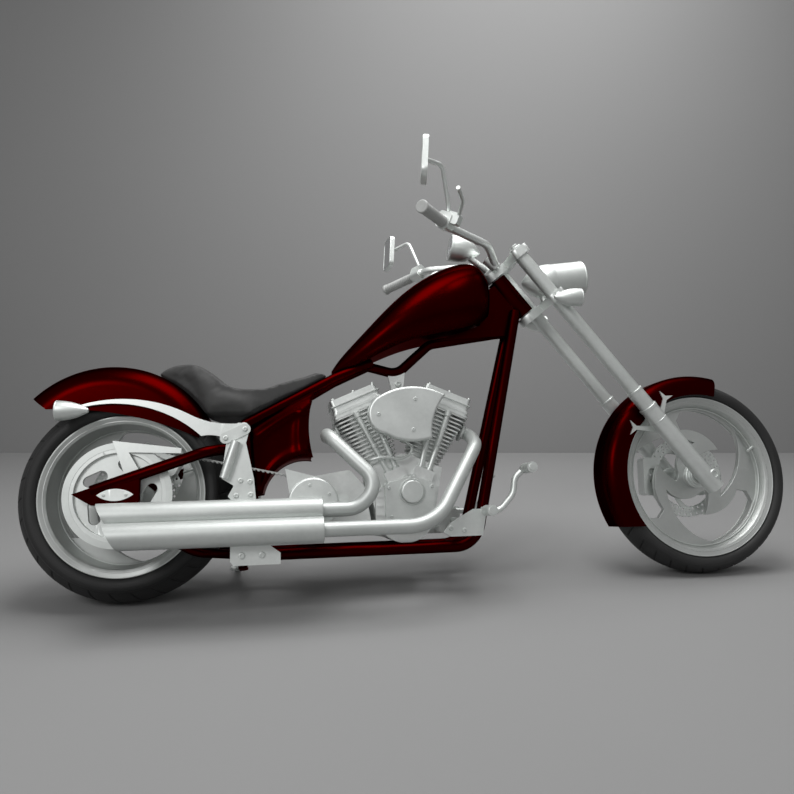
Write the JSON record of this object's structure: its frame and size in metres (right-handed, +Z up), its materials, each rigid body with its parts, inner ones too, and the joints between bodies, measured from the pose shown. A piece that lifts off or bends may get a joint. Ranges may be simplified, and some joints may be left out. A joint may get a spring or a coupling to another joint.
{
  "type": "custom chopper motorcycle",
  "caption": "Long custom motorcycle with a raked fork, finned V-twin engine, belt drive and slash-cut exhausts, leaning on its side stand.",
  "frame": {"origin": "middle of the overall box on the floor the parked machine stands on", "axes": "+X forward along the machine, +Y to its left, +Z up; the machine leans 12.5 degrees to the left"},
  "size_m": [2.6403, 1.0172, 1.4583],
  "materials": {
    "candy_red": "gloss candy",
    "satin_silver": "satin",
    "tyre_rubber": "matte",
    "belt_rubber": "matte",
    "grip_rubber": "satin",
    "seat_leather": "matte"
  },
  "bodies": {
    "chassis": {"frame": "candy_red", "cradle": "candy_red", "swingarm": "candy_red", "rear_axle": "satin_silver", "axle_covers": "satin_silver", "rear_fender": "candy_red", "fender_struts": "satin_silver", "rear_lamps": "satin_silver", "side_plates": "satin_silver", "passenger_pegs": "satin_silver", "oil_tank": "candy_red", "fuel_tank": "candy_red", "fuel_cap": "satin_silver", "seat": "seat_leather", "crankcase": "satin_silver", "cylinders": "satin_silver", "rocker_boxes": "satin_silver", "cam_cover": "satin_silver", "pushrod_tubes": "satin_silver", "air_cleaner": "satin_silver", "engine_mount": "satin_silver", "gearbox": "satin_silver", "drive_pulley": "satin_silver", "drive_belt": "belt_rubber", "pulley_cover": "satin_silver", "belt_guard": "satin_silver", "primary_cover": "satin_silver", "exhaust_headers": "satin_silver", "mufflers": "satin_silver", "exhaust_bracket": "satin_silver", "foot_controls": "satin_silver", "rear_caliper": "satin_silver"},
    "steering": {"upper_clamp": "satin_silver", "lower_clamp": "satin_silver", "fork_tubes": "satin_silver", "fork_sliders": "satin_silver", "front_axle": "satin_silver", "front_fender": "candy_red", "fender_brackets": "satin_silver", "front_caliper": "satin_silver", "headlamp": "satin_silver", "front_indicators": "satin_silver", "handlebar": "satin_silver", "grips": "grip_rubber", "hand_controls": "satin_silver", "mirrors": "satin_silver", "speedometer": "satin_silver"},
    "front_wheel": {"front_tyre": "tyre_rubber", "front_rim": "satin_silver", "front_rotor": "satin_silver"},
    "rear_wheel": {"rear_tyre": "tyre_rubber", "rear_rim": "satin_silver", "rear_rotor": "satin_silver", "rear_pulley": "satin_silver"},
    "side_stand": {"side_stand": "satin_silver"}
  },
  "joints": [
    {"name": "steering_turn", "type": "hinge", "parent": "chassis", "child": "steering", "pos_m": [0.32321, -0.00338, 0.9926], "axis": [-0.617, 0.1703, 0.7683], "range_deg": [-32, 32]},
    {"name": "front_wheel_spin", "type": "hinge", "parent": "steering", "child": "front_wheel", "pos_m": [0.97575, -0.14843, 0.33834], "axis": [0, 0.9763, -0.2164], "continuous": true},
    {"name": "rear_wheel_spin", "type": "hinge", "parent": "chassis", "child": "rear_wheel", "pos_m": [-0.99225, -0.1516, 0.32403], "axis": [0, 0.9763, -0.2164], "continuous": true},
    {"name": "side_stand_fold", "type": "hinge", "parent": "chassis", "child": "side_stand", "pos_m": [-0.64725, -0.05534, 0.06516], "axis": [-0.12, 0.4243, 0.8975], "range_deg": [0, 76]}
  ]
}
